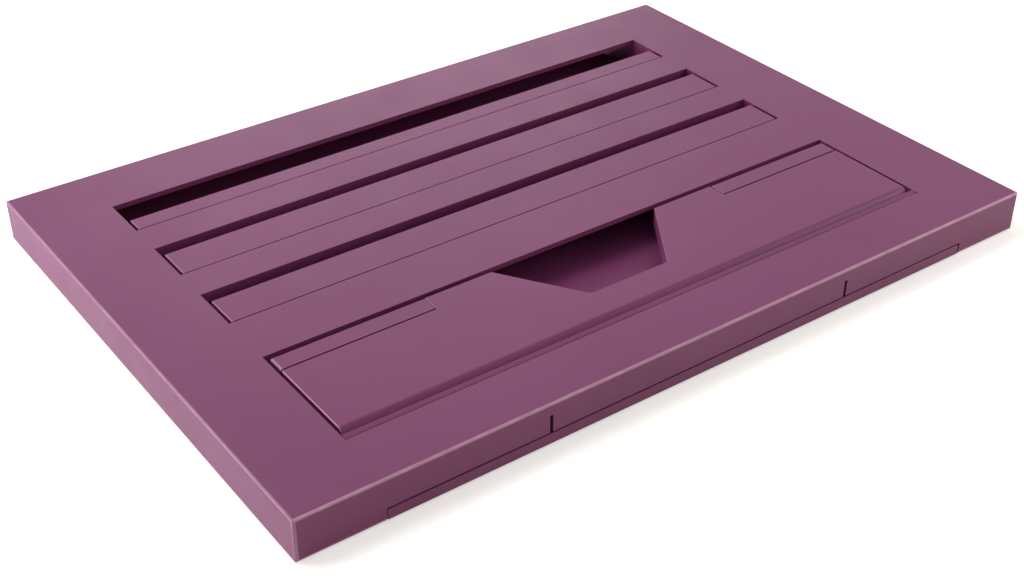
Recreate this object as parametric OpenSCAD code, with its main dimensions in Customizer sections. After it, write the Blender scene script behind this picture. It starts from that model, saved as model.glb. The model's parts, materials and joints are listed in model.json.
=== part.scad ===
// Folding reading stand, shown folded flat.
// X runs left to right, Y from the front edge to the back edge, Z up from the table.
// Depths written as "from the front edge" are measured along Y from the board's front edge.

/* [Board] */
// Width of the board, left to right
board_w = 355; // [330:1:400]
// Depth of the board, front edge to back edge
board_d = 248; // [244:1:270]
// Height of the folded stand above the table
stand_t = 19; // [18:0.5:24]
// Width of each side rail
rail_w = 35; // [30:1:45]
// Thickness of the top skin and the outer walls
skin = 2.4; // [1.8:0.1:2.8]
// Thickness of the inner walls and flanges
web = 2; // [1.4:0.1:2.4]
// Radius of the long edges
edge_r = 1; // [0.4:0.1:1.6]
// Radius of the board's corners seen from above
corner_r = 1.5; // [1:0.5:6]
// Height of the rails above the table
rail_z = 0.4; // [0.2:0.1:0.8]

/* [Windows] */
// Depth of each window, front to back
window_h = 24; // [22:0.5:26]
// Distance from one window to the next
window_pitch = 41.2; // [38:0.2:42]
// Margin of the board behind the last window
back_margin = 31.2; // [26:0.2:34]
// Depth of the flanges below the top skin
flange_h = 2.6; // [1.5:0.1:3]

/* [Prop] */
// Depth of a slat that fills a window, front to back
slat_d = 16.9; // [14:0.1:18]
// Depth of the last slat, at the prop's free end
tip_slat_d = 8.5; // [6:0.1:10]
// Gap between a slat and the front edge of its window
slat_gap = 0.8; // [0.3:0.1:1]
// Drop of the slats below the board's face
slat_drop = 0.3; // [0:0.1:1]
// Width of the prop's side arms
arm_w = 8; // [6:0.5:12]
// Radius of the prop's hinge barrel
prop_barrel_r = 3; // [2.5:0.1:3.2]
// Length of each prop hinge barrel
prop_barrel_l = 20; // [16:1:30]
// Width of the rubber strip at the prop's free end
tip_w = 220; // [120:5:250]

/* [Ledge] */
// Board's front edge to the ledge's recess
ledge_margin = 25.4; // [22:0.2:30]
// Depth of the ledge's recess, front to back
recess_d = 58.8; // [56:0.2:61]
// Thickness of the ledge
ledge_t = 8; // [7:0.5:9]
// Radius of the ledge's hinge strip round its pins
strip_r = 1.5; // [1.4:0.1:2.2]
// Depth of the strip's flat top behind its axis
strip_land = 1; // [0.6:0.1:1.4]
// Drop of the hinge strip below the ledge's face
strip_drop = 0.3; // [0.1:0.1:0.5]
// Gap between each end of the hinge strip and the rail
strip_gap = 0.3; // [0.2:0.1:0.6]
// Radius of the crease between the ledge's face and its hinge strip
crease_r = 5; // [2:0.5:5.5]
// Gap at each end of the ledge and of the prop
end_gap = 1.5; // [1:0.1:2]
// Gap behind the ledge's free edge
free_gap = 2.7; // [1.5:0.1:3.2]
// Width of the cable notch at the ledge's free edge
notch_w = 84; // [60:1:100]
// Width of the cable notch at its floor
notch_floor_w = 38.5; // [30:0.5:50]
// Depth of the cable notch
notch_d = 35; // [25:0.5:38]
// Thickness of the ledge's face and rim
ledge_wall = 2; // [1.6:0.1:2.4]
// Thickness of the shelf plate that closes the ledge
shelf_t = 1.8; // [1.4:0.1:2.4]

/* [Page holders] */
// Length of a page holder
holder_l = 67; // [60:1:72]
// Width of a page holder
holder_w = 7.8; // [6:0.2:9]
// Thickness of a page holder at its tip
holder_tip_t = 5; // [4:0.5:6]
// Lean of an open page holder past upright, in degrees
holder_lean = 15; // [0:1:20]
// Thickness of the friction washer beside a page holder
washer_t = 0.7; // [0.3:0.1:1]
// Outer diameter of the friction washer
washer_d = 7; // [6.5:0.1:7.5]

/* [Base] */
// Thickness of the base plate
base_t = 3; // [2.6:0.1:3.4]
// Height of the base plate above the table
foot_h = 0.8; // [0.6:0.1:1.2]
// Height of the base's front edge above the table
nose_h = 5.3; // [5:0.1:5.6]
// Depth of the thick front edge of the base
nose_d = 5; // [4:0.1:7]
// Gap between the base's front edge and the board's front wall above it
seam_gap = 1; // [0.6:0.1:1.2]
// Gap between the base and the board's back wall
finger_gap = 5.6; // [4:0.2:10]
// Gap between the base and each rail
base_gap = 0.5; // [0.4:0.1:1]
// Front edge to the first reading step
first_step = 127; // [124:0.5:130]
// Distance from one reading step to the next
step_pitch = 20; // [16:0.5:24]
// Height of a reading step
step_h = 1; // [0.6:0.1:1.4]
// Width of the reading steps
step_w = 240; // [180:5:250]
// Diameter of a rubber foot
foot_d = 12; // [8:0.5:16]
// Depth of the sunk panel under the base
panel_sink = 0.6; // [0.3:0.1:1]
// Width of the border round the sunk panel
panel_border = 12; // [8:1:20]

/* [Front wall] */
// Distance of each slit from the nearer end of the board
slit_place = 104; // [90:1:120]
// Width of a slit
slit_w = 1.6; // [0.8:0.1:2]
// Height of a slit's top above the table
slit_top = 13.8; // [10:0.2:15]

/* [Fasteners] */
// Diameter of the prop hinge pins
prop_pin_d = 3; // [2.4:0.1:3.4]
// Diameter of the base hinge pins
base_pin_d = 2; // [1.6:0.1:2.2]
// Diameter of the ledge hinge pins
ledge_pin_d = 1.6; // [1.4:0.1:1.8]
// Diameter of the page holders' screws
holder_screw_d = 3; // [2.4:0.1:3.2]
// Diameter of the cover and shelf screws
screw_d = 2.4; // [2:0.1:2.8]
// Thickness of a rear cover
cover_t = 2.4; // [2:0.1:3]
// Radial clearance of a running fit
running_fit = 0.05; // [0.02:0.01:0.1]
// Radial clearance of a fixed fit
fixed_fit = 0.02; // [0.01:0.01:0.04]

/* [Hidden] */
$fn = 48;

plastic = [0.54, 0.35, 0.47];
rubber = [0.17, 0.15, 0.17];
steel = [0.75, 0.75, 0.77];

// Small gaps and margins that several pieces share
eps = 1;
flat_gap = 0.1;
cover_gap = 0.2;
turn_gap = 0.4;
front_gap = 0.6;
nose_gap = 0.2;
left = -1;
right = 1;

// The open bay between the rails
bay_x = board_w / 2 - rail_w;
skin_z = stand_t - skin;
flange_z = skin_z - flange_h;

// Windows, counted from the front
window_count = 3;
function window_front(i) =
    board_d - back_margin - window_h - (window_count - 1 - i) * window_pitch;
function slat_front(i) = window_front(i) + slat_gap;
function slat_depth(i) = i == window_count - 1 ? tip_slat_d : slat_d;

// Base and its hinge
base_x = bay_x - base_gap;
base_top = foot_h + base_t;
base_pin_wall = 0.7;
base_axis_y = nose_gap + base_pin_wall + base_pin_d / 2;
base_axis_z = foot_h + base_pin_wall + base_pin_d / 2;
base_back = board_d - skin - finger_gap;
nose_r = 0.5;
nose_back = nose_gap + nose_d;
front_wall_z = nose_h + seam_gap;
heel_r = 1.6;
base_pin_l = 24;
base_pin_in_rail = 10;

// Ledge and its hinge
recess_back = ledge_margin + recess_d;
ledge_x = bay_x - end_gap;
ledge_low = stand_t - ledge_t;
ledge_axis_z = stand_t - strip_drop - strip_r;
ledge_axis_y = ledge_margin + front_gap + strip_r;
strip_x = bay_x - strip_gap;
strip_edge_r = 0.6;
ledge_free = recess_back - free_gap;
panel_front = ledge_axis_y;
crease_back = panel_front + crease_r;
cavity_front = crease_back + ledge_wall;

// Page holders
holder_r = ledge_t / 2;
holder_pivot_x = ledge_x - holder_l + holder_r;
holder_pivot_z = stand_t - holder_r;
holder_set_in = 0.3;
holder_back = ledge_free - holder_set_in;
holder_front = holder_back - holder_w;
pocket_front = holder_front - washer_t - flat_gap;
pocket_x = holder_pivot_x - holder_r - turn_gap;
holder_head_d = 5.4;
holder_head_h = 1.6;
holder_head_sink = 0.4;
holder_head_back = holder_back - holder_head_sink;
holder_thread = 11;
holder_boss_w = 9;

// Prop and its hinge
prop_axis_y = (recess_back + window_front(0)) / 2;
prop_barrel_clear = 1.2;
prop_axis_z = base_top + prop_barrel_clear + prop_barrel_r;
prop_x = bay_x - end_gap;
prop_clear = 3;
prop_low = base_top + prop_clear;
prop_top = flange_z - slat_gap;
slat_top = stand_t - slat_drop;
slat_wall = 2;
prop_end = slat_front(window_count - 1) + tip_slat_d;
tip_t = 2;
tip_proud = 0.8;
tip_h = 3;

// Hinge pins in the rails
pin_in_rail = 11;
pin_l = 27;
pin_boss_r = 4.5;

// Screws and bosses in the rails
cover_screws = 4;
screw_inset = 20;
screw_x = bay_x + (rail_w + web - skin) / 2;
screw_l = 9;
screw_head_d = 4.8;
screw_head_h = 1.3;
boss_d = 7;
heel_block_d = nose_back + turn_gap;

// Stiffening ribs under the skin of the front and back borders
rib_h = 3;
rib_t = 1.4;
rib_set_back = 8;
rib_count = 5;
rib_pitch = 2 * bay_x / (rib_count + 1);

// Screws that hold the shelf plate
shelf_screw_l = 5;
shelf_boss_d = 6;
shelf_screw_inset = 12;
shelf_screw_y = [cavity_front + shelf_boss_d, pocket_front - 1.5 * shelf_boss_d];
shelf_screw_x = [notch_w / 2 + shelf_screw_inset, ledge_x - shelf_screw_inset];

// Grip strips on the shelf plate
grip_d = 10;
grip_t = 0.8;
grip_sink = 0.4;
grip_grooves = 3;
groove_w = 1;
groove_depth = 0.3;
grip_y = shelf_screw_y[0] + shelf_boss_d;
grip_x = [notch_w / 2, ledge_x - 2 * shelf_screw_inset];

// Steps that stop the ledge when it folds down
stop_d = 3;
stop_t = 2.2;
stop_low = ledge_low - turn_gap - stop_t;
stop_inset = 5;
stop_x = [notch_w / 2 + stop_inset, pocket_x - stop_inset];

// Side openings of the base, where the page holders swing through
waist_room = 4;
waist_front = pocket_front - waist_room;
waist_back = ledge_free + waist_room;
waist_x = holder_pivot_x - holder_r - 2 * waist_room;
base_corner_r = 6;
foot_inset_x = 17;
foot_inset_y = 14;
foot_sink = 0.5;

// Slits in the front wall, beside the base's hinge pins
slit_x = board_w / 2 - slit_place;

function from_front(y) = y - board_d / 2;

// Places its children on the right side, or mirrors them to the left
module on_side(side) {
    if (side > 0) children();
    else mirror([1, 0, 0]) children();
}

// A box between two corners, with Y measured from the front edge
module block(low, high) {
    translate([low.x, from_front(low.y), low.z]) cube(high - low);
}

// A rod along X, with Y measured from the front edge
module rod_x(x0, x1, y, z, r) {
    translate([x0, from_front(y), z]) rotate([0, 90, 0]) cylinder(h = x1 - x0, r = r);
}

// A rod along Y, with Y measured from the front edge
module rod_y(y0, y1, x, z, r) {
    translate([x, from_front(y1), z]) rotate([90, 0, 0]) cylinder(h = y1 - y0, r = r);
}

// A flat outline in X and Y, raised between two heights
module raise(z0, z1) {
    translate([0, from_front(0), z0]) linear_extrude(z1 - z0) children();
}

// A Y-Z outline, stretched along X between two places
module along_x(x0, x1) {
    translate([x0, from_front(0), 0]) rotate([90, 0, 90]) linear_extrude(x1 - x0) children();
}

// An X-Z outline, stretched along Y between two depths
module along_y(y0, y1) {
    translate([0, from_front(y1), 0]) rotate([90, 0, 0]) linear_extrude(y1 - y0) children();
}

// A rectangle whose corners have their own radii, counted from the low corner
module rounded(low, high, radii) {
    corners = [[low.x, low.y], [high.x, low.y], [high.x, high.y], [low.x, high.y]];
    inward = [[1, 1], [-1, 1], [-1, -1], [1, -1]];
    difference() {
        translate(low) square(high - low);
        for (i = [0:3])
            if (radii[i] > 0)
                translate(corners[i] + inward[i] * radii[i] / 2) square(radii[i], center = true);
    }
    for (i = [0:3])
        if (radii[i] > 0) translate(corners[i] + inward[i] * radii[i]) circle(radii[i]);
}

// The board's outer form: plan corners, rounded long edges and a heel round the base hinge
module board_form() {
    half_w = board_w / 2;
    intersection() {
        raise(rail_z, stand_t)
            rounded([-half_w, 0], [half_w, board_d], [corner_r, corner_r, corner_r, corner_r]);
        along_x(-half_w - eps, half_w + eps)
            rounded([0, rail_z], [board_d, stand_t], [heel_r, edge_r, edge_r, edge_r]);
        along_y(-eps, board_d + eps)
            rounded([-half_w, rail_z], [half_w, stand_t], [edge_r, edge_r, edge_r, edge_r]);
    }
}

// Walls round the outside of the board and its top skin
module board_walls() {
    half_w = board_w / 2;
    block([-half_w, 0, skin_z], [half_w, board_d, stand_t]);
    block([-half_w, 0, rail_z], [half_w, skin, stand_t]);
    block([-half_w, board_d - skin, rail_z], [half_w, board_d, stand_t]);
    for (side = [left, right]) on_side(side) {
        block([half_w - skin, 0, rail_z], [half_w, board_d, stand_t]);
        block([bay_x, 0, rail_z], [bay_x + web, board_d, stand_t]);
        block([bay_x, 0, rail_z], [half_w, heel_block_d, front_wall_z + web]);
    }
}

// Flanges under the edges of the windows and of the ledge's recess
module board_flanges() {
    for (i = [0:window_count - 1])
        block([-bay_x, window_front(i) - web, flange_z], [bay_x, window_front(i), stand_t]);
    for (i = [0:window_count - 2])
        block([-bay_x, window_front(i) + window_h, flange_z],
              [bay_x, window_front(i) + window_h + web, stand_t]);
    block([-bay_x, ledge_margin - web, front_wall_z], [bay_x, ledge_margin, stand_t]);
    for (side = [left, right]) on_side(side) {
        block([stop_x[0], recess_back, flange_z], [bay_x, recess_back + web, stand_t]);
        block([stop_x[0], ledge_free - stop_d, stop_low],
              [stop_x[1], recess_back + web, ledge_low - turn_gap]);
        block([stop_x[0], recess_back, stop_low], [stop_x[1], recess_back + web, stand_t]);
    }
    for (i = [1:rib_count])
        for (y = [[0, ledge_margin], [board_d - back_margin + rib_set_back, board_d]])
            block([-bay_x + i * rib_pitch - rib_t / 2, y[0], skin_z - rib_h],
                  [-bay_x + i * rib_pitch + rib_t / 2, y[1], stand_t]);
}

// Bosses inside the rails for hinge pins and cover screws
module board_bosses() {
    for (side = [left, right]) on_side(side) {
        rod_x(bay_x, bay_x + pin_in_rail + web, ledge_axis_y, ledge_axis_z, pin_boss_r);
        rod_x(bay_x, bay_x + pin_in_rail + web, prop_axis_y, prop_axis_z, pin_boss_r);
        for (y = screw_ys())
            translate([screw_x, from_front(y), rail_z + cover_t])
                cylinder(h = stand_t - rail_z - cover_t, d = boss_d);
    }
}

// Depths of a rear cover's screws from the front edge
function screw_ys() =
    let(run = board_d - 2 * screw_inset)
    [for (i = [0:cover_screws - 1]) screw_inset + i * run / (cover_screws - 1)];

// Windows, the ledge's recess, the hinge's room, pin holes, screw holes and slits
module board_cuts() {
    for (i = [0:window_count - 1])
        block([-bay_x, window_front(i), flange_z - eps],
              [bay_x, window_front(i) + window_h, stand_t + eps]);
    block([-bay_x, ledge_margin, ledge_low], [bay_x, recess_back, stand_t + eps]);
    block([-bay_x, -eps, rail_z - eps], [bay_x, heel_block_d, front_wall_z]);
    block([-bay_x, board_d - skin - eps, rail_z - eps],
          [bay_x, board_d + eps, base_top + turn_gap]);
    for (side = [left, right]) on_side(side) {
        rod_x(bay_x - eps, bay_x + base_pin_in_rail, base_axis_y, base_axis_z,
              base_pin_d / 2 + fixed_fit);
        rod_x(bay_x - eps, bay_x + pin_in_rail, ledge_axis_y, ledge_axis_z,
              ledge_pin_d / 2 + fixed_fit);
        rod_x(bay_x - eps, bay_x + pin_in_rail, prop_axis_y, prop_axis_z,
              prop_pin_d / 2 + fixed_fit);
        for (y = screw_ys())
            translate([screw_x, from_front(y), 0])
                cylinder(h = rail_z + cover_t + screw_l, d = screw_d + 2 * fixed_fit);
        block([slit_x - slit_w / 2, -eps, rail_z], [slit_x + slit_w / 2, skin + eps, slit_top]);
    }
}

module board_shell() {
    color(plastic)
        difference() {
            intersection() {
                board_form();
                union() {
                    board_walls();
                    board_flanges();
                    board_bosses();
                }
            }
            board_cuts();
        }
}

// A cover that closes one rail from below
module rear_cover(side) {
    low = [bay_x + web + cover_gap, heel_block_d + cover_gap, rail_z];
    high = [board_w / 2 - skin - cover_gap, board_d - skin - cover_gap, rail_z + cover_t];
    color(plastic)
        on_side(side)
        difference() {
            block(low, high);
            for (y = screw_ys())
                translate([screw_x, from_front(y), 0]) {
                    cylinder(h = rail_z + cover_t + eps, d = screw_d + 4 * running_fit);
                    cylinder(h = rail_z + screw_head_h, d = screw_head_d + 4 * running_fit);
                }
        }
}

// A screw that points up from z, with its head below
module screw_up(z, length, head_d, head_h, d) {
    translate([0, 0, z]) {
        difference() {
            cylinder(h = head_h, d = head_d);
            translate([0, 0, -eps]) cylinder(h = head_h / 2 + eps, d = d, $fn = 6);
        }
        cylinder(h = length, d = d);
    }
}

module cover_screws(side) {
    color(steel)
        on_side(side)
        for (y = screw_ys())
            translate([screw_x, from_front(y), 0])
                screw_up(rail_z, cover_t + screw_l - eps, screw_head_d, screw_head_h, screw_d);
}

// A plain hinge pin, from inside the rail into the barrel
module hinge_pin(side, y, z, d, length, in_rail) {
    color(steel)
        on_side(side)
        rod_x(bay_x + in_rail - length, bay_x + in_rail - flat_gap, y, z, d / 2);
}

// Outline of the base seen from below, with openings for the page holders
module base_outline() {
    difference() {
        rounded([-base_x, nose_gap], [base_x, base_back],
                [0, 0, base_corner_r, base_corner_r]);
        for (side = [left, right]) on_side(side)
            rounded([waist_x, waist_front], [base_x + eps, waist_back],
                    [base_corner_r, 0, 0, base_corner_r]);
    }
}

// A reading step: a steep front that stops the prop and a long back slope
module reading_step(y) {
    top_w = 1.5;
    slope = 4.5;
    along_x(-step_w / 2, step_w / 2)
        polygon([
            [y, base_top - eps], [y, base_top + step_h], [y + top_w, base_top + step_h],
            [y + top_w + slope, base_top], [y + top_w + slope, base_top - eps]
        ]);
}

module base_plate() {
    color(plastic)
        difference() {
            union() {
                raise(foot_h, base_top) base_outline();
                along_x(-base_x, base_x)
                    rounded([nose_gap, foot_h], [nose_back, nose_h], [0, 0, nose_r, nose_r]);
                for (i = [0:window_count - 1]) reading_step(first_step + i * step_pitch);
            }
            raise(foot_h - eps, foot_h + panel_sink)
                rounded([-waist_x + panel_border, foot_ys()[0]], [waist_x - panel_border, foot_ys()[1]],
                        [base_corner_r, base_corner_r, base_corner_r, base_corner_r]);
            for (side = [left, right]) on_side(side) {
                rod_x(bay_x + base_pin_in_rail - base_pin_l - eps, base_x + eps,
                      base_axis_y, base_axis_z, base_pin_d / 2 + running_fit);
                for (y = foot_ys())
                    translate([base_x - foot_inset_x, from_front(y), 0])
                        cylinder(h = foot_h + foot_sink, d = foot_d + 2 * flat_gap);
            }
        }
}

// Depths of the feet from the front edge
function foot_ys() = [base_axis_y + foot_inset_y, base_back - foot_inset_y];

// A rubber foot with a softened rim, glued into its seat
module base_foot(side, y) {
    rim = 0.4;
    color(rubber)
        on_side(side)
        translate([base_x - foot_inset_x, from_front(y), 0]) {
            translate([0, 0, rim]) cylinder(h = foot_h + foot_sink - rim, d = foot_d);
            cylinder(h = rim, d1 = foot_d - 2 * rim, d2 = foot_d);
        }
}

// A slat that fills a window, hollow from below
module slat(i) {
    y0 = slat_front(i);
    y1 = y0 + slat_depth(i);
    difference() {
        block([-prop_x, y0, prop_low], [prop_x, y1, slat_top]);
        block([-prop_x + slat_wall, y0 + slat_wall, prop_low - eps],
              [prop_x - slat_wall, y1 - slat_wall, slat_top - slat_wall]);
    }
}

module prop_frame() {
    color(plastic)
        difference() {
            union() {
                for (i = [0:window_count - 1]) slat(i);
                for (side = [left, right]) on_side(side) {
                    block([prop_x - arm_w, prop_axis_y, prop_low],
                          [prop_x, prop_end, prop_top]);
                    rod_x(prop_x - prop_barrel_l, prop_x, prop_axis_y, prop_axis_z,
                          prop_barrel_r);
                    block([prop_x - prop_barrel_l, prop_axis_y, prop_low],
                          [prop_x, slat_front(0) + eps, prop_axis_z + prop_barrel_r]);
                }
            }
            for (side = [left, right]) on_side(side)
                rod_x(bay_x + pin_in_rail - pin_l - eps, prop_x + eps, prop_axis_y, prop_axis_z,
                      prop_pin_d / 2 + running_fit);
            block([-tip_w / 2 - flat_gap, prop_end - tip_t + tip_proud, prop_low - eps],
                  [tip_w / 2 + flat_gap, prop_end + eps, prop_low + tip_h]);
        }
}

// Rubber strip along the prop's free end
module prop_tip() {
    color(rubber)
        block([-tip_w / 2, prop_end - tip_t + tip_proud, prop_low],
              [tip_w / 2, prop_end + tip_proud, prop_low + tip_h]);
}

// The cable notch, grown outwards by a wall
module notch_outline(wall) {
    floor_y = ledge_free - notch_d;
    slope = (notch_w - notch_floor_w) / 2 / notch_d;
    side_wall = wall * sqrt(1 + slope * slope);
    x0 = notch_floor_w / 2 - slope * wall + side_wall;
    x1 = notch_w / 2 + slope * eps + side_wall;
    polygon([
        [-x0, floor_y - wall], [x0, floor_y - wall],
        [x1, ledge_free + eps], [-x1, ledge_free + eps]
    ]);
}

// Outline of the ledge from a front edge, drawn in by a wall
module ledge_outline(y0, wall) {
    difference() {
        translate([-ledge_x + wall, y0]) square([2 * (ledge_x - wall), ledge_free - wall - y0]);
        notch_outline(wall);
        for (side = [left, right]) on_side(side)
            translate([pocket_x - wall, pocket_front - wall])
                square([ledge_x - pocket_x + wall + eps, ledge_free - pocket_front + wall + eps]);
    }
}

// Hinge strip seen from its end: flat on top, round its pins below
module hinge_strip() {
    rounded([ledge_axis_y - strip_r, ledge_axis_z - strip_r],
            [ledge_axis_y + strip_land, ledge_axis_z + strip_r],
            [strip_r, 0, strip_edge_r / 2, strip_edge_r]);
}

// Front of the ledge seen from its end, rolled down from the face to the hinge strip
module rolled_front() {
    low = [panel_front, ledge_low];
    high = [crease_back + eps, stand_t];
    under_r = (ledge_t - crease_r) / 2;
    intersection() {
        translate(low) square(high - low);
        rounded(low, high, [under_r, 0, 0, crease_r]);
    }
}

// Room for a page holder that leans inwards when it is open
module lean_relief() {
    room = holder_r + turn_gap;
    translate([holder_pivot_x, from_front(pocket_front), holder_pivot_z])
        rotate([0, holder_lean, 0])
        translate([-room, 0, -ledge_t]) cube([2 * room, ledge_free - pocket_front + eps, ledge_t]);
}

// Bosses inside the ledge for the page holders' screws and the shelf's screws
module ledge_bosses() {
    for (side = [left, right]) on_side(side) {
        block([holder_pivot_x - holder_boss_w / 2, pocket_front - holder_thread - ledge_wall,
               ledge_low + shelf_t],
              [holder_pivot_x + holder_boss_w / 2, pocket_front - ledge_wall / 2, stand_t - eps]);
        for (x = shelf_screw_x)
            for (y = shelf_screw_y)
                translate([x, from_front(y), ledge_low + shelf_t])
                    cylinder(h = ledge_t - shelf_t - eps, d = shelf_boss_d);
    }
}

module ledge_flap() {
    color(plastic)
        difference() {
            union() {
                difference() {
                    union() {
                        raise(ledge_low, stand_t) ledge_outline(crease_back, 0);
                        along_x(-ledge_x, ledge_x) rolled_front();
                        along_x(-strip_x, strip_x) hinge_strip();
                    }
                    raise(ledge_low - eps, stand_t - ledge_wall)
                        ledge_outline(cavity_front, ledge_wall);
                }
                ledge_bosses();
            }
            for (side = [left, right]) on_side(side) {
                rod_x(bay_x + pin_in_rail - pin_l - eps, bay_x, ledge_axis_y, ledge_axis_z,
                      ledge_pin_d / 2 + running_fit);
                rod_y(pocket_front - holder_thread, pocket_front + eps,
                      holder_pivot_x, holder_pivot_z, holder_screw_d / 2 + fixed_fit);
                lean_relief();
                for (x = shelf_screw_x)
                    for (y = shelf_screw_y)
                        translate([x, from_front(y), ledge_low])
                            cylinder(h = shelf_screw_l, d = screw_d + 2 * fixed_fit);
            }
        }
}

// A grooved grip strip on the shelf, which carries the book when the ledge is open
module ledge_grip(side) {
    r = grip_d / 2 - flat_gap;
    low = ledge_low - grip_t + grip_sink;
    groove_pitch = grip_d / (grip_grooves + 1);
    color(rubber)
        on_side(side)
        difference() {
            raise(low, ledge_low + grip_sink)
                rounded([grip_x[0], grip_y], [grip_x[1], grip_y + grip_d], [r, r, r, r]);
            for (i = [1:grip_grooves])
                block([grip_x[0] + r, grip_y + i * groove_pitch - groove_w / 2, low - eps],
                      [grip_x[1] - r, grip_y + i * groove_pitch + groove_w / 2, low + groove_depth]);
        }
}

// Plate that closes the ledge from below and becomes the shelf when it opens
module ledge_shelf() {
    r = grip_d / 2;
    color(plastic)
        difference() {
            raise(ledge_low, ledge_low + shelf_t)
                ledge_outline(cavity_front + cover_gap, ledge_wall + cover_gap);
            for (side = [left, right]) on_side(side) {
                raise(ledge_low - eps, ledge_low + grip_sink)
                    rounded([grip_x[0] - flat_gap, grip_y - flat_gap],
                            [grip_x[1] + flat_gap, grip_y + grip_d + flat_gap], [r, r, r, r]);
                for (x = shelf_screw_x)
                    for (y = shelf_screw_y)
                        translate([x, from_front(y), ledge_low - eps]) {
                            cylinder(h = shelf_t + 2 * eps, d = screw_d + 4 * running_fit);
                            cylinder(h = eps + screw_head_h / 2,
                                     d = screw_head_d + 4 * running_fit);
                        }
            }
        }
}

module shelf_screws() {
    head_h = screw_head_h / 2;
    color(steel)
        for (side = [left, right]) on_side(side)
            for (x = shelf_screw_x)
                for (y = shelf_screw_y)
                    translate([x, from_front(y), 0])
                        screw_up(ledge_low, shelf_screw_l - flat_gap, screw_head_d, head_h, screw_d);
}

// Screw that a page holder turns on, with its head sunk in the holder
module holder_screw(side) {
    color(steel)
        on_side(side) {
            rod_y(pocket_front - holder_thread + flat_gap, holder_head_back,
                  holder_pivot_x, holder_pivot_z, holder_screw_d / 2);
            difference() {
                rod_y(holder_head_back - holder_head_h, holder_head_back,
                      holder_pivot_x, holder_pivot_z, holder_head_d / 2);
                rod_y(holder_head_back - holder_head_h / 2, holder_head_back + eps,
                      holder_pivot_x, holder_pivot_z, holder_screw_d / 2, $fn = 6);
            }
        }
}

// Friction washer between a page holder and the ledge
module holder_washer(side) {
    color(steel)
        on_side(side)
        difference() {
            rod_y(pocket_front, pocket_front + washer_t, holder_pivot_x, holder_pivot_z,
                  washer_d / 2);
            rod_y(pocket_front - eps, pocket_front + washer_t + eps,
                  holder_pivot_x, holder_pivot_z, holder_screw_d / 2 + fixed_fit);
        }
}

// A page holder: a bar with a pivot end that is round below, thinner and rounded at its tip
module page_holder(side) {
    tip_r = 2;
    color(plastic)
        on_side(side)
        difference() {
            along_y(holder_front, holder_back)
                union() {
                    translate([holder_pivot_x, holder_pivot_z]) circle(holder_r);
                    translate([holder_pivot_x - holder_r, holder_pivot_z]) square(holder_r);
                    polygon([
                        [holder_pivot_x, stand_t], [holder_pivot_x, stand_t - 2 * holder_r],
                        [ledge_x - tip_r, stand_t - holder_tip_t],
                        [ledge_x - tip_r, stand_t]
                    ]);
                    rounded([ledge_x - 3 * tip_r, stand_t - holder_tip_t], [ledge_x, stand_t],
                            [0, tip_r, tip_r / 2, 0]);
                }
            rod_y(holder_front - eps, holder_back + eps, holder_pivot_x, holder_pivot_z,
                  holder_screw_d / 2 + running_fit);
            rod_y(holder_head_back - holder_head_h - flat_gap, holder_back + eps,
                  holder_pivot_x, holder_pivot_z, holder_head_d / 2 + turn_gap);
        }
}

base_plate();
base_foot(left, foot_ys()[0]);  // base_foot_front_left
base_foot(right, foot_ys()[0]);  // base_foot_front_right
base_foot(left, foot_ys()[1]);  // base_foot_back_left
base_foot(right, foot_ys()[1]);  // base_foot_back_right
board_shell();
rear_cover(left);  // rear_cover_left
rear_cover(right);  // rear_cover_right
cover_screws(left);  // cover_screws_left
cover_screws(right);  // cover_screws_right
hinge_pin(left, base_axis_y, base_axis_z, base_pin_d, base_pin_l, base_pin_in_rail);  // base_hinge_pin_left
hinge_pin(right, base_axis_y, base_axis_z, base_pin_d, base_pin_l, base_pin_in_rail);  // base_hinge_pin_right
hinge_pin(left, prop_axis_y, prop_axis_z, prop_pin_d, pin_l, pin_in_rail);  // prop_hinge_pin_left
hinge_pin(right, prop_axis_y, prop_axis_z, prop_pin_d, pin_l, pin_in_rail);  // prop_hinge_pin_right
hinge_pin(left, ledge_axis_y, ledge_axis_z, ledge_pin_d, pin_l, pin_in_rail);  // ledge_hinge_pin_left
hinge_pin(right, ledge_axis_y, ledge_axis_z, ledge_pin_d, pin_l, pin_in_rail);  // ledge_hinge_pin_right
prop_frame();
prop_tip();
ledge_flap();
ledge_shelf();
shelf_screws();
ledge_grip(left);  // ledge_grip_left
ledge_grip(right);  // ledge_grip_right
holder_screw(left);  // holder_screw_left
holder_screw(right);  // holder_screw_right
holder_washer(left);  // holder_washer_left
holder_washer(right);  // holder_washer_right
page_holder(left);  // page_holder_left
page_holder(right);  // page_holder_right
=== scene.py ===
"""Looks of the folding reading stand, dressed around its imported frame."""
import json
import math

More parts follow.
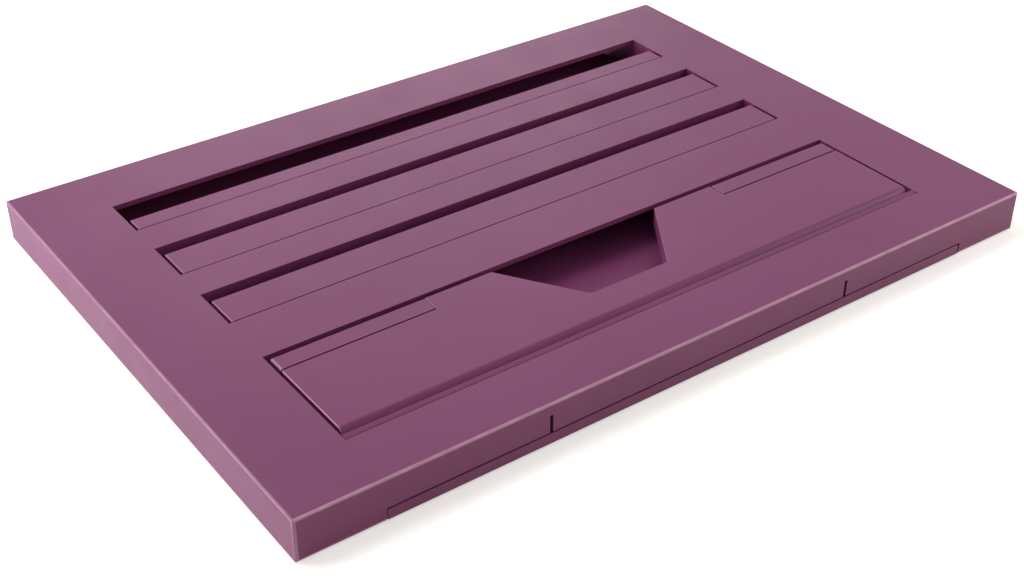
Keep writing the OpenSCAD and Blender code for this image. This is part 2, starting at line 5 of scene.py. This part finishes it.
import bmesh
import bpy
from mathutils import Color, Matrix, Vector


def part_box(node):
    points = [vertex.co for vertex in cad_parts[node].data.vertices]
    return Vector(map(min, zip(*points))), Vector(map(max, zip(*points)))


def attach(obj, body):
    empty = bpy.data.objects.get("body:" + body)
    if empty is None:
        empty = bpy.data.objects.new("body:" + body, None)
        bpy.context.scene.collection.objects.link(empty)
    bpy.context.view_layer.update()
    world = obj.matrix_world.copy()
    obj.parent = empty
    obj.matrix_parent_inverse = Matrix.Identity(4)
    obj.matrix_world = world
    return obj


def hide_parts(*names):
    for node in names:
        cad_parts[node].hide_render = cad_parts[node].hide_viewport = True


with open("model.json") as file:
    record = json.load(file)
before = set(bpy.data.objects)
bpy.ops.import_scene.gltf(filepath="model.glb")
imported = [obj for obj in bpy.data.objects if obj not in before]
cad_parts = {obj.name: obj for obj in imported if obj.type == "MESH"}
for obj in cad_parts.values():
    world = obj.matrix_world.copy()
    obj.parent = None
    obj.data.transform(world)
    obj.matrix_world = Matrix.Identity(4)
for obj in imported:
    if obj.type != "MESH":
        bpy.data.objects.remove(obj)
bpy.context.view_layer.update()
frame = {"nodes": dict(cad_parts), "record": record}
nodes = frame["nodes"]
bodies = frame["record"]["behaviour"]["bodies"]
body_of_node = {node: body for body, members in bodies.items() for node in members}
slot_of_node = {part["node"]: part["material_slot"] for part in frame["record"]["subparts"]}

# Lengths are in metres, as in the frame
MM = 0.001
WHITE = (1, 1, 1, 1)

# Camera, from a fit of the board's corners, with its lens and sensor in millimetres
CAMERA_AT = Vector((-337.9, -465.1, 355.0)) * MM
CAMERA_LOOKS = Vector((0.4874, 0.6733, -0.5560))
CAMERA_LENS = 54.73
SENSOR_W = 36.0
CLIP_NEAR = 0.01
CLIP_FAR = 50.0

# Textures: a scale counts features per metre. Most of a noise lies in its middle range.
NOISE_MIDDLE = (0.35, 0.65)

# Plastic
FLOW_MARKS = {"scale": 9, "detail": 3}
# Patches in the strength of the pale edges, which are partly wear and partly a painted highlight
WEAR_AND_HIGHLIGHT_PATCHES = {"scale": 160, "detail": 3}
WEAR_AND_HIGHLIGHT_SPREAD = (0.75, 1.0)
PLASTIC_PATCHES = {"scale": 45, "detail": 4}
PLASTIC_ROUGHNESS = (0.38, 0.43)
PLASTIC_SPECULAR = 0.3
GRAIN = {"scale": 2600, "detail": 2}
GRAIN_BUMP = {"strength": 0.12, "depth": 0.05 * MM}
SPECKS = {"scale": 900, "detail": 1}
SPECK_BUMP = {"strength": 0.06, "depth": 0.03 * MM}

# Rubber
BLOOM = {"scale": 60, "detail": 4}
RUBBER_PATCHES = {"scale": 300, "detail": 3}
RUBBER_ROUGHNESS = (0.7, 0.9)
PORES = {"scale": 1800, "detail": 3}
PORE_BUMP = {"strength": 0.3, "depth": 0.08 * MM}

# Steel
TURNING_LINES = {"scale": 400, "detail": 3, "stretch": (40, 1, 1)}
LINE_BUMP = {"strength": 0.08, "depth": 0.02 * MM}
STEEL_PATCHES = {"scale": 250, "detail": 3}
STEEL_ROUGHNESS = (0.28, 0.42)

# Pale edges, partly wear and partly a painted highlight: the value that a mesh carries on its faces, how
# much the ends and the other edges get, and how much less the rims at the sides get than those at the front
# and back, since the lamps light the sides more
WEAR_AND_HIGHLIGHT = "edge_wear_and_highlight"
END_WEAR_AND_HIGHLIGHT = 0.62
EDGE_WEAR_AND_HIGHLIGHT = 0.19
SIDE_WEAR_AND_HIGHLIGHT_FADE = 0.72

# Lengths: places that touch, points that are joined before and after rounding, very short edges
TOUCH = 0.01 * MM
WELD = 0.005 * MM
CLEAN = 0.004 * MM
SLIVER = 0.25 * MM

# Angles: faces that make one flat face, that lean off the axes, and that meet sharply or squarely
FLAT_ANGLE = math.radians(0.5)
ROUND_ANGLE = math.radians(3)
SHARP_ANGLE = math.radians(32)
SQUARE_ANGLE = math.radians(50)

# Softened edges: radii, steps and shape of the round, and the shortest edge, counted in radii.
# Faces with at least so many corners are cut into triangles.
EDGE_R = 0.2 * MM
END_R = 0.45 * MM
COVER_R = 0.3 * MM
PLATE_R = 0.25 * MM
TRIM_R = 0.12 * MM
BEVEL_STEPS = 3
BEVEL_ROUND = 0.5
LEAST = 6.0
TRIM_LEAST = 2.0
NGON_CORNERS = 5

# How far in from the outline a piece's rounded rim reaches
SHELL_RIM = 1.2 * MM
HOLDER_RIM = 1.0 * MM

# Where the edges at a piece's ends lie: down to a depth below its face, from a length behind its front
SLAT_ENDS = (0.1 * MM, 0.0)
LEDGE_ENDS = (1.3 * MM, 3.6 * MM)

# The ledge's front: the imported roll, the tighter roll that shows, the crease's floor and the hinge strip.
# Lengths count from the strip's front edge, and depths from the ledge's face.
CAD_ROLL_BACK = 6.5 * MM
CAD_ROLL_R = 5.0 * MM
CAD_ROLL_STEP = math.radians(7.5)
ROLL_BACK = 7.1 * MM
ROLL_R = 2.0 * MM
ROLL_STEPS = 3
ROLL_SLOPE = math.radians(50)
CREASE = [(4.3 * MM, 2.2 * MM), (3.5 * MM, 2.3 * MM)]
STRIP_D = 2.5 * MM
STRIP_TOP = 0.92 * MM
STRIP_RISE = 0.22 * MM
STRIP_LEAN = 0.2

# A foot's ring grooves, as shares of its radius and half widths, and its rim, as lengths in and up
FOOT_RINGS = (0.36, 0.68)
RING_MOUTH = 0.4 * MM
RING_FLOOR = 0.3 * MM
RING_DEPTH = 0.25 * MM
FOOT_RIM = ((0.4 * MM, 0.0), (0.1 * MM, 0.1 * MM), (0.0, 0.4 * MM))
FOOT_STEPS = 56

# The prop's tip: its grooves, those at the back as shares of its height, and its cut corners
TIP_GROOVE = 0.3 * MM
TIP_GROOVES = (0.38, 0.68)
TIP_CORNER = 0.2 * MM
TIP_HEEL = 0.3 * MM

# Floor, which glows less within a length of the stand's middle, so that its shadow stays
FLOOR_HALF = 6.0
FLOOR_COLOUR = (0.9, 0.885, 0.82, 1)
FLOOR_ROUGHNESS = 0.9
FLOOR_SPECULAR = 0.1
GLOW_FAR = 0.66
GLOW_NEAR = 0.45
NEAR_WITHIN = 0.4

# Light
WORLD_FILL = 0.43
PLAIN = (1, 1, 1)
COOL = (0.92, 0.97, 1)
WARM = (1, 0.96, 0.8)


def add_object(name, data):
    obj = bpy.data.objects.new(name, data)
    bpy.context.scene.collection.objects.link(obj)
    return obj


def aim(obj, direction):
    """Points a camera or a lamp along a direction."""
    obj.rotation_mode = "QUATERNION"
    obj.rotation_quaternion = direction.to_track_quat("-Z", "Y")


class Shader:
    """A material's node tree with short helpers for procedural textures."""

    def __init__(self, name):
        self.material = bpy.data.materials.new(name)
        self.material.use_nodes = True
        self.tree = self.material.node_tree
        self.surface = self.tree.nodes["Principled BSDF"].inputs
        self.place = self.add("ShaderNodeTexCoord").outputs["Object"]

    def add(self, kind, **settings):
        node = self.tree.nodes.new(kind)
        for key, value in settings.items():
            setattr(node, key, value)
        return node

    def link(self, out, socket):
        self.tree.links.new(out, socket)

    def fix(self, name, value):
        """Sets one of the surface's values all over."""
        self.surface[name].default_value = value

    def drive(self, name, out):
        """Lets a texture set one of the surface's values."""
        self.link(out, self.surface[name])

    def noise(self, scale, detail, stretch=None):
        """Noise with features about 1/scale metres wide, drawn out by stretch."""
        node = self.add("ShaderNodeTexNoise")
        node.inputs["Scale"].default_value = scale
        node.inputs["Detail"].default_value = detail
        source = self.place
        if stretch:
            mapping = self.add("ShaderNodeMapping")
            mapping.inputs["Scale"].default_value = stretch
            self.link(source, mapping.inputs["Vector"])
            source = mapping.outputs["Vector"]
        self.link(source, node.inputs["Vector"])
        return node.outputs["Fac"]

    def spread(self, value, low, high, source=NOISE_MIDDLE):
        """Stretches a texture's range, from its source range over low to high."""
        node = self.add("ShaderNodeMapRange")
        node.inputs["From Min"].default_value, node.inputs["From Max"].default_value = source
        node.inputs["To Min"].default_value = low
        node.inputs["To Max"].default_value = high
        self.link(value, node.inputs["Value"])
        return node.outputs["Result"]

    def mottle(self, texture, low=0, high=1):
        """A noise texture spread over low to high."""
        return self.spread(self.noise(**texture), low, high)

    def blend(self, share, first, second):
        """A colour between two, by a share that a texture gives."""
        node = self.add("ShaderNodeMix", data_type="RGBA")
        self.link(share, node.inputs["Factor"])
        for socket, colour in ((node.inputs["A"], first), (node.inputs["B"], second)):
            if isinstance(colour, bpy.types.NodeSocket):
                self.link(colour, socket)
            else:
                socket.default_value = (*colour, 1)
        return node.outputs["Result"]

    def attribute(self, name):
        """A value that the mesh carries on its faces, 0 where it carries none."""
        return self.add("ShaderNodeAttribute", attribute_name=name).outputs["Fac"]

    def times(self, first, second):
        node = self.add("ShaderNodeMath", operation="MULTIPLY")
        self.link(first, node.inputs[0])
        self.link(second, node.inputs[1])
        return node.outputs["Value"]

    def bump(self, height, strength, depth, below=None):
        node = self.add("ShaderNodeBump")
        node.inputs["Strength"].default_value = strength
        node.inputs["Distance"].default_value = depth
        self.link(height, node.inputs["Height"])
        if below:
            self.link(below, node.inputs["Normal"])
        return node.outputs["Normal"]


def screen_colour(*levels):
    """A colour given as 0 to 255 screen levels, in linear light."""
    return Color([level / 255 for level in levels]).from_srgb_to_scene_linear()


def moulded_plastic(name, dark, light, worn_and_highlit):
    """Satin plastic from a spark-eroded mould, with flow marks, fine grain and pale edges that are partly
    rubbed wear and partly a painted highlight.
    """
    plastic = Shader(name)
    colour = plastic.blend(plastic.mottle(FLOW_MARKS), dark, light)
    # Pale edges: partly wear, partly a painted highlight, as strong as the mesh marks them
    wear_and_highlight = plastic.times(plastic.attribute(WEAR_AND_HIGHLIGHT), plastic.mottle(WEAR_AND_HIGHLIGHT_PATCHES, *WEAR_AND_HIGHLIGHT_SPREAD))
    plastic.drive("Base Color", plastic.blend(wear_and_highlight, colour, worn_and_highlit))
    plastic.drive("Roughness", plastic.mottle(PLASTIC_PATCHES, *PLASTIC_ROUGHNESS))
    grain = plastic.bump(plastic.noise(**GRAIN), **GRAIN_BUMP)
    plastic.drive("Normal", plastic.bump(plastic.mottle(SPECKS), **SPECK_BUMP, below=grain))
    plastic.fix("Specular IOR Level", PLASTIC_SPECULAR)
    return plastic.material


def soft_rubber(name, dark, light):
    """Matt rubber with a dusty bloom and fine pores."""
    rubber = Shader(name)
    rubber.drive("Base Color", rubber.blend(rubber.mottle(BLOOM), dark, light))
    rubber.drive("Roughness", rubber.mottle(RUBBER_PATCHES, *RUBBER_ROUGHNESS))
    rubber.drive("Normal", rubber.bump(rubber.noise(**PORES), **PORE_BUMP))
    return rubber.material


def turned_steel(name, dark, light):
    """Bright zinc-plated steel with fine turning lines."""
    steel = Shader(name)
    lines = steel.mottle(TURNING_LINES)
    steel.drive("Base Color", steel.blend(lines, dark, light))
    steel.drive("Roughness", steel.mottle(STEEL_PATCHES, *STEEL_ROUGHNESS))
    steel.drive("Normal", steel.bump(lines, **LINE_BUMP))
    steel.fix("Metallic", 1)
    return steel.material


FINISH = {
    "body_plastic": moulded_plastic(
        "aubergine_plastic",
        dark=screen_colour(113, 49, 91),
        light=screen_colour(119, 55, 97),
        # Pale edge colour: partly wear, partly a painted highlight
        worn_and_highlit=screen_colour(191, 146, 168),
    ),
    "grip_rubber": soft_rubber(
        "dark_rubber",
        dark=screen_colour(38, 33, 38),
        light=screen_colour(52, 46, 52),
    ),
    "steel": turned_steel(
        "plated_steel",
        dark=(0.55, 0.55, 0.56),
        light=(0.68, 0.68, 0.70),
    ),
}


def stand_in(bm, node, ending):
    """Puts a finished mesh in the scene in place of a node, moving with the node's body."""
    mesh = bpy.data.meshes.new(node + ending)
    bm.to_mesh(mesh)
    bm.free()
    slot = slot_of_node[node]
    mesh.materials.append(FINISH[slot])
    mesh.shade_smooth()
    mesh.set_sharp_from_angle(angle=SHARP_ANGLE)
    piece = add_object(node + ending, mesh)
    flat = piece.modifiers.new("flat_faces_stay_flat", "WEIGHTED_NORMAL")
    flat.keep_sharp = True
    cut = piece.modifiers.new("no_sliver_triangles", "TRIANGULATE")
    cut.ngon_method = "BEAUTY"
    cut.min_vertices = NGON_CORNERS
    cut.keep_custom_normals = True
    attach(piece, body_of_node[node])
    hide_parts(node)


def near(value, target):
    return abs(value - target) < TOUCH


def is_square(edge):
    """True for an outer edge where two faces meet squarely."""
    return len(edge.link_faces) == 2 and edge.is_convex and edge.calc_face_angle() > SQUARE_ANGLE


def ends_at_sliver(edge):
    """True for an edge that meets a very short one."""
    others = [other for vert in edge.verts for other in vert.link_edges if other is not edge]
    return any(other.calc_length() < SLIVER for other in others)


def square_edges(bm, shortest):
    """Square edges over a length, without those that end at a sliver."""
    return [
        edge for edge in bm.edges
        if is_square(edge) and edge.calc_length() > shortest and not ends_at_sliver(edge)
    ]


def end_edges(bm, node, deep, behind):
    """Square edges from front to back on a node's face, down to a depth and from behind its front."""
    low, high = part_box(node)
    return [
        edge for edge in bm.edges
        if is_square(edge) and near(edge.verts[0].co.x, edge.verts[1].co.x)
        and all(vert.co.z > high[2] - deep and vert.co.y > low[1] + behind for vert in edge.verts)
    ]


def round_off(bm, edges, radius, wear_and_highlight):
    """Rounds edges, and marks the new faces for the pale edge colour, which is partly wear and partly a
    painted highlight.
    """
    mark = bm.faces.layers.float[WEAR_AND_HIGHLIGHT]
    made = bmesh.ops.bevel(
        bm, geom=edges, offset=radius, offset_type="OFFSET", segments=BEVEL_STEPS, profile=BEVEL_ROUND,
        affect="EDGES", clamp_overlap=False,
    )
    for face in made["faces"]:
        face[mark] = wear_and_highlight


def mark_rim_wear_and_highlight(bm, node, reach):
    """Marks the rounded faces along a node's outline with the pale edge colour, partly wear and partly a
    painted highlight: most at the crest, where the highlight falls, and less at the sides, which the lamps
    light more.
    """
    low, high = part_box(node)
    mark = bm.faces.layers.float[WEAR_AND_HIGHLIGHT]
    for face in bm.faces:
        middle = face.calc_center_median()
        to_rim = min(min(middle[axis] - low[axis], high[axis] - middle[axis]) for axis in (0, 1))
        lesser, greater = sorted(abs(part) for part in face.normal)[1:]
        if to_rim < reach and greater < math.cos(ROUND_ANGLE):
            face[mark] = math.sqrt(2 * lesser * greater) * (1 - SIDE_WEAR_AND_HIGHLIGHT_FADE * abs(face.normal.x))


def tight_roll():
    """Points of the roll that shows, from the ledge's face to the crease, as lengths and depths."""
    angles = [ROLL_SLOPE * step / ROLL_STEPS for step in range(ROLL_STEPS + 1)]
    arc = [(ROLL_BACK - ROLL_R * math.sin(angle), ROLL_R * (1 - math.cos(angle))) for angle in angles]
    return arc + CREASE


def tighten_roll(bm, node):
    """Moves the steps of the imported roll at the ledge's front to the tight roll, and leans its strip."""
    low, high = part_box(node)
    points = tight_roll()
    for vert in bm.verts:
        along = vert.co.y - low[1]
        deep = high[2] - vert.co.z
        out = CAD_ROLL_BACK - along
        up = CAD_ROLL_R - deep
        step = round(math.atan2(out, up) / CAD_ROLL_STEP)
        if near(math.hypot(out, up), CAD_ROLL_R) and 0 <= step < len(points):
            along, deep = points[step]
        elif along < STRIP_D + TOUCH and deep < STRIP_TOP:
            deep += STRIP_LEAN * (STRIP_D - along) - STRIP_RISE
        vert.co.y = low[1] + along
        vert.co.z = high[2] - deep


def softened(node, radius, least=LEAST, ends=None, rim=0.0, reshape=None):
    """A copy of a node with softened edges, which a function may reshape first.

    Edges under least radii stay as they are. Ends says where edges get the ends' radius, and rim
    how far in the node's own rounded rim gets the pale edge colour, partly wear and partly a painted
    highlight.
    """
    bm = bmesh.new()
    bm.from_mesh(nodes[node].data)
    bm.faces.layers.float.new(WEAR_AND_HIGHLIGHT)
    bmesh.ops.remove_doubles(bm, verts=bm.verts, dist=WELD)
    bmesh.ops.dissolve_limit(bm, angle_limit=FLAT_ANGLE, verts=bm.verts, edges=bm.edges)
    if reshape:
        reshape(bm, node)
    if ends:
        round_off(bm, end_edges(bm, node, *ends), END_R, END_WEAR_AND_HIGHLIGHT)
    round_off(bm, square_edges(bm, least * radius), radius, EDGE_WEAR_AND_HIGHLIGHT)
    # Pale rims: partly wear, partly a painted highlight
    if rim:
        mark_rim_wear_and_highlight(bm, node, rim)
    bmesh.ops.remove_doubles(bm, verts=bm.verts, dist=CLEAN)
    bmesh.ops.dissolve_degenerate(bm, dist=CLEAN, edges=bm.edges)
    stand_in(bm, node, "_softened")


def ringed_foot(node):
    """A rubber foot with ring grooves underneath and a softened rim."""
    low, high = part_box(node)
    centre = [(a + b) / 2 for a, b in zip(low, high)]
    radius = (high[0] - low[0]) / 2
    height = high[2] - low[2]
    profile = [(0, 0)]
    for share in FOOT_RINGS:
        ring = share * radius
        profile += [(ring - RING_MOUTH, 0), (ring - RING_FLOOR, RING_DEPTH)]
        profile += [(ring + RING_FLOOR, RING_DEPTH), (ring + RING_MOUTH, 0)]
    profile += [(radius - inward, up) for inward, up in FOOT_RIM]
    profile += [(radius, height), (0, height)]
    bm = bmesh.new()
    rings = []
    for out, up in profile:
        angles = [math.tau * step / FOOT_STEPS for step in range(FOOT_STEPS if out else 1)]
        rings.append([
            bm.verts.new((centre[0] + out * math.cos(a), centre[1] + out * math.sin(a), low[2] + up))
            for a in angles
        ])
    for first, second in zip(rings, rings[1:]):
        for i in range(FOOT_STEPS):
            j = (i + 1) % FOOT_STEPS
            corners = ((first, i), (first, j), (second, j), (second, i))
            # At the middle a ring is one point, which counts once in a face
            verts = dict.fromkeys(ring[k % len(ring)] for ring, k in corners)
            bm.faces.new(list(verts))
    bmesh.ops.recalc_face_normals(bm, faces=bm.faces)
    stand_in(bm, node, "_ringed")


def grooved_strip(node):
    """A rubber strip along X with grooves in its underside and back."""
    low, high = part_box(node)
    deep = high[1] - low[1]
    tall = high[2] - low[2]
    half = deep / 2
    outline = [(TIP_CORNER, 0), (half - TIP_GROOVE, 0), (half, TIP_GROOVE), (half + TIP_GROOVE, 0)]
    outline += [(deep - TIP_HEEL, 0), (deep, TIP_HEEL)]
    for share in TIP_GROOVES:
        up = share * tall
        outline += [(deep, up - TIP_GROOVE), (deep - TIP_GROOVE, up), (deep, up + TIP_GROOVE)]
    outline += [(deep, tall - TIP_CORNER), (deep - TIP_CORNER, tall)]
    outline += [(TIP_CORNER, tall), (0, tall - TIP_CORNER), (0, TIP_CORNER)]
    bm = bmesh.new()
    left, right = [
        [bm.verts.new((x, low[1] + y, low[2] + z)) for y, z in outline]
        for x in (low[0], high[0])
    ]
    for i in range(len(outline)):
        bm.faces.new((left[i - 1], left[i], right[i], right[i - 1]))
    bm.faces.new(left)
    bm.faces.new(right)
    bmesh.ops.recalc_face_normals(bm, faces=bm.faces)
    stand_in(bm, node, "_grooved")


def dress_stand():
    """Puts a finer piece in place of each node but the hinge pins, and gives every node its finish."""
    softened("board_shell", EDGE_R, rim=SHELL_RIM)
    softened("prop_frame", EDGE_R, ends=SLAT_ENDS)
    softened("ledge_flap", EDGE_R, ends=LEDGE_ENDS, reshape=tighten_roll)
    for side in ("left", "right"):
        softened("page_holder_" + side, EDGE_R, rim=HOLDER_RIM)
        softened("rear_cover_" + side, COVER_R)
        softened("ledge_grip_" + side, TRIM_R)
        for part in ("cover_screws_", "holder_screw_", "holder_washer_"):
            softened(part + side, TRIM_R, least=TRIM_LEAST)
        for end in ("front_", "back_"):
            ringed_foot("base_foot_" + end + side)
    softened("shelf_screws", TRIM_R, least=TRIM_LEAST)
    softened("base_plate", PLATE_R)
    softened("ledge_shelf", PLATE_R)
    grooved_strip("prop_tip")
    for node, obj in nodes.items():
        obj.data.materials[0] = FINISH[slot_of_node[node]]


def add_camera():
    data = bpy.data.cameras.new("camera")
    data.lens = CAMERA_LENS
    data.sensor_width = SENSOR_W
    data.sensor_fit = "HORIZONTAL"
    data.clip_start = CLIP_NEAR
    data.clip_end = CLIP_FAR
    camera = add_object("camera", data)
    camera.location = CAMERA_AT
    aim(camera, CAMERA_LOOKS)
    bpy.context.scene.camera = camera


def seen_share(tree):
    """1 for what the camera, reflections and glass see, 0 for light that falls on the stand."""
    path = tree.nodes.new("ShaderNodeLightPath")
    share = path.outputs["Is Camera Ray"]
    for name in ("Is Glossy Ray", "Is Transmission Ray"):
        either = tree.nodes.new("ShaderNodeMath")
        either.operation = "MAXIMUM"
        tree.links.new(share, either.inputs[0])
        tree.links.new(path.outputs[name], either.inputs[1])
        share = either.outputs["Value"]
    return share


def add_floor():
    """A pale floor that keeps the shadow and reads as white to the camera."""
    mesh = bpy.data.meshes.new("floor")
    corners = [(x * FLOOR_HALF, y * FLOOR_HALF, 0) for x, y in ((-1, -1), (1, -1), (1, 1), (-1, 1))]
    mesh.from_pydata(corners, [], [(0, 1, 2, 3)])
    pale = Shader("pale_floor")
    pale.fix("Base Color", FLOOR_COLOUR)
    pale.fix("Roughness", FLOOR_ROUGHNESS)
    pale.fix("Specular IOR Level", FLOOR_SPECULAR)
    pale.fix("Emission Color", WHITE)
    # The gradient falls from 1 at the stand's middle to 0 at a metre from it
    by_stand = pale.add("ShaderNodeTexGradient", gradient_type="SPHERICAL")
    pale.link(pale.place, by_stand.inputs["Vector"])
    glow = pale.spread(by_stand.outputs["Fac"], GLOW_FAR, GLOW_NEAR, source=(0, 1 - NEAR_WITHIN))
    pale.drive("Emission Strength", pale.times(seen_share(pale.tree), glow))
    mesh.materials.append(pale.material)
    add_object("floor", mesh)


def add_world():
    """White round about for what the camera and reflections see, and a soft fill for the rest."""
    world = bpy.data.worlds.new("studio")
    bpy.context.scene.world = world
    world.use_nodes = True
    tree = world.node_tree
    seen = tree.nodes["Background"]
    soft = tree.nodes.new("ShaderNodeBackground")
    for light, strength in ((seen, 1), (soft, WORLD_FILL)):
        light.inputs["Color"].default_value = WHITE
        light.inputs["Strength"].default_value = strength
    mix = tree.nodes.new("ShaderNodeMixShader")
    tree.links.new(seen_share(tree), mix.inputs["Fac"])
    tree.links.new(soft.outputs["Background"], mix.inputs[1])
    tree.links.new(seen.outputs["Background"], mix.inputs[2])
    tree.links.new(mix.outputs["Shader"], tree.nodes["World Output"].inputs["Surface"])


def add_softbox(name, direction, distance, size, level, colour):
    """A square lamp aimed at the stand. Level 1 alone would show a colour as it is written."""
    data = bpy.data.lights.new(name, "AREA")
    data.shape = "SQUARE"
    data.size = size
    data.color = colour
    data.energy = level * math.pi**2 * distance**2
    away = Vector(direction).normalized()
    lamp = add_object(name, data)
    lamp.location = away * distance
    aim(lamp, -away)


dress_stand()
add_camera()
add_floor()
add_world()
add_softbox("key", direction=(-0.34, 0.34, 0.88), distance=1.3, size=0.65, level=0.52, colour=PLAIN)
add_softbox("back", direction=(0.42, 0.82, 0.36), distance=1.3, size=0.7, level=0.10, colour=PLAIN)
add_softbox("left", direction=(-0.9, 0.42, 0.09), distance=0.9, size=0.35, level=0.85, colour=COOL)
add_softbox("front", direction=(0.82, -0.5, 0.28), distance=0.8, size=0.35, level=0.27, colour=WARM)
bpy.context.scene.view_settings.view_transform = "Standard"
